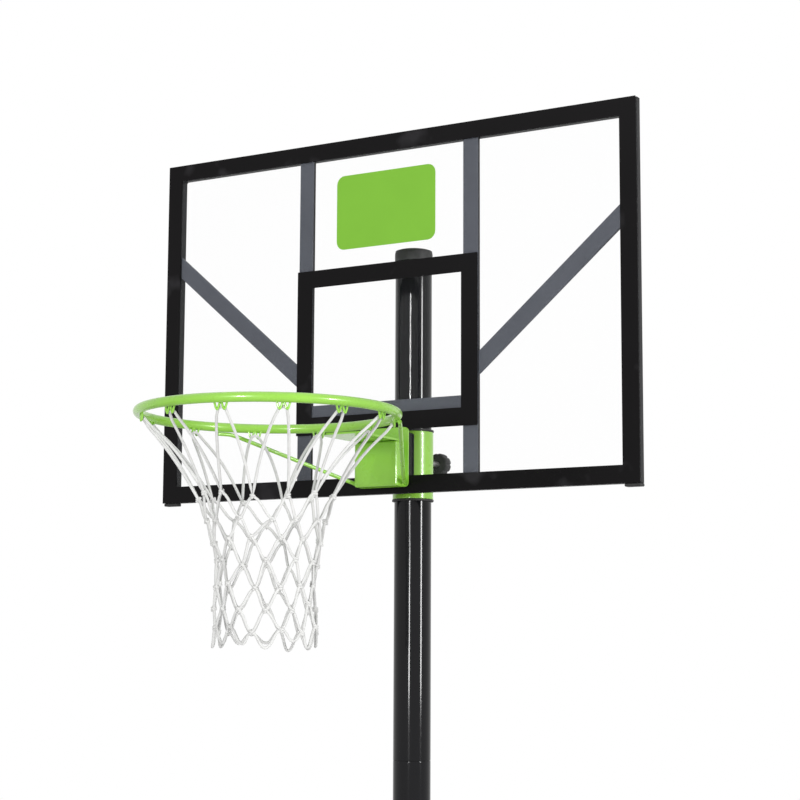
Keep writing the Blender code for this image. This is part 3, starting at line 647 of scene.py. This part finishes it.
def make_welds():
    bm = bmesh.new()
    back = FRONT + 0.0223
    inner = 0.5245
    for side in (-1, 1):
        for z in (BOTTOM + 0.0345, BOTTOM + BOARD_H - 0.0345):
            weld(bm, (side * inner, FRONT + 0.0055, z), (side * inner, back - 0.001, z))
        x = side * 0.214
        for z in (BOTTOM + 0.0345, BOTTOM + BOARD_H - 0.0345):
            weld(bm, (x - side * 0.034, FRONT + 0.0128, z), (x, FRONT + 0.0128, z))
        weld(bm, (side * 0.1792, FRONT + 0.0125, BOTTOM + 0.157),
             (side * 0.1792, FRONT + 0.0125, BOTTOM + 0.189))
        for z in (0.040, 0.126):
            weld(bm, (side * 0.0225, -0.0385, BOTTOM + z),
                 (side * 0.0225, -0.0385, BOTTOM + z + 0.001))
        weld(bm, (side * 0.0222, -0.0372, BOTTOM + 0.038), (side * 0.0222, -0.0372, BOTTOM + 0.128))
    mesh_piece("frame_weld_beads", bm, "black", "carriage")


def bar(bm, low, high, edge=0.004, segments=3):
    made = bmesh.ops.create_cube(bm, size=1.0)["verts"]
    size = [b - a for a, b in zip(low, high)]
    mid = [(a + b) / 2 for a, b in zip(low, high)]
    bmesh.ops.transform(bm, matrix=Matrix.Translation(mid) @ Matrix.Diagonal((*size, 1)),
                        verts=made)
    edges = list({e for v in made for e in v.link_edges})
    bmesh.ops.bevel(bm, geom=edges, offset=edge, segments=segments, profile=0.5, affect="EDGES")


def make_tank_ribs():
    low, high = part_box("base_tank")
    bm = bmesh.new()
    for x in (-0.30, -0.10, 0.10, 0.30):
        bar(bm, (x - RIB_W / 2, RIB_FRONT, high.z - RIB_RISE),
            (x + RIB_W / 2, RIB_BACK, high.z + RIB_RISE), 0.003)
    mesh_piece("tank_top_ribs", bm, "tank", "base")


# ------------------------------------------------------------------ view, light and floor

def make_camera():
    azimuth, height, roll = (math.radians(angle) for angle in
                             (CAMERA_AZIMUTH, CAMERA_HEIGHT, CAMERA_ROLL))
    back = Vector((math.sin(azimuth) * math.cos(height), -math.cos(azimuth) * math.cos(height),
                   math.sin(height)))
    right = (-back).cross(Vector((0, 0, 1))).normalized()
    up = right.cross(-back)
    right, up = (math.cos(roll) * right + math.sin(roll) * up,
                 math.cos(roll) * up - math.sin(roll) * right)
    data = bpy.data.cameras.new("photo_camera")
    data.sensor_width = SENSOR
    data.lens = FOCAL_SHARE * SENSOR
    data.clip_end = 100
    camera = bpy.data.objects.new("photo_camera", data)
    bpy.context.scene.collection.objects.link(camera)
    place = Vector((CAMERA_X, FRONT - CAMERA_OUT, BOTTOM - CAMERA_BELOW))
    camera.matrix_world = Matrix.Translation(place) @ Matrix(
        (right, up, back)).transposed().to_4x4()
    bpy.context.scene.camera = camera


def lamp(name, at, target, size, power, height=None):
    data = bpy.data.lights.new(name, "AREA")
    data.energy = power
    data.size = size
    if height:
        data.shape = "RECTANGLE"
        data.size_y = height
    obj = bpy.data.objects.new(name, data)
    bpy.context.scene.collection.objects.link(obj)
    obj.location = at
    obj.rotation_euler = (Vector(target) - Vector(at)).to_track_quat("-Z", "Y").to_euler()
    return obj


def make_world():
    world = bpy.data.worlds.new("white_studio")
    bpy.context.scene.world = world
    world.use_nodes = True
    nodes, links = world.node_tree.nodes, world.node_tree.links
    nodes.clear()
    out = nodes.new("ShaderNodeOutputWorld")
    seen = nodes.new("ShaderNodeBackground")
    seen.inputs["Color"].default_value = (1, 1, 1, 1)
    seen.inputs["Strength"].default_value = 1.0
    fill = nodes.new("ShaderNodeBackground")
    fill.inputs["Color"].default_value = (1, 1, 1, 1)
    fill.inputs["Strength"].default_value = 0.22
    path = nodes.new("ShaderNodeLightPath")
    either = nodes.new("ShaderNodeMath")
    either.operation = "MAXIMUM"
    third = nodes.new("ShaderNodeMath")
    third.operation = "MAXIMUM"
    links.new(path.outputs["Is Camera Ray"], either.inputs[0])
    links.new(path.outputs["Is Glossy Ray"], either.inputs[1])
    links.new(either.outputs[0], third.inputs[0])
    links.new(path.outputs["Is Transmission Ray"], third.inputs[1])
    mix = nodes.new("ShaderNodeMixShader")
    links.new(third.outputs[0], mix.inputs["Fac"])
    links.new(fill.outputs[0], mix.inputs[1])
    links.new(seen.outputs[0], mix.inputs[2])
    links.new(mix.outputs[0], out.inputs["Surface"])


def make_floor():
    bm = bmesh.new()
    bmesh.ops.create_grid(bm, x_segments=8, y_segments=8, size=6.0)
    data = bpy.data.meshes.new("studio_floor")
    bm.to_mesh(data)
    bm.free()
    floor = bpy.data.objects.new("studio_floor", data)
    bpy.context.scene.collection.objects.link(floor)
    floor.location.z = -0.0005
    data.materials.append(material("pale_floor", (0.90, 0.90, 0.90), 0.8, spec=0.1, vary=0.01,
                                   grain=40, bump=0.02))


def make_light():
    lamp("key", (-1.6, -4.6, 5.0), (0, -0.2, 2.7), 1.8, 4)
    lamp("floor_wash", (0, 0, 7.5), (0, 0, 0), 8.0, 90)
    for angle, power in ((11.2, 380), (85.2, 380)):
        a = math.radians(angle)
        at = Vector((8 * math.sin(a), -8 * math.cos(a), 3.3))
        lamp(f"strip_{int(angle)}", at, (0, 0, 3.3), 0.9, power, 2.6)


def main():
    make_camera()
    bpy.context.scene.view_settings.view_transform = "Standard"
    paint_nodes()
    make_ring()
    make_braces()
    make_net()
    make_round_parts()
    make_knob()
    make_wheels()
    make_bolts()
    make_welds()
    make_tank_ribs()
    make_world()
    make_floor()
    make_light()


main()
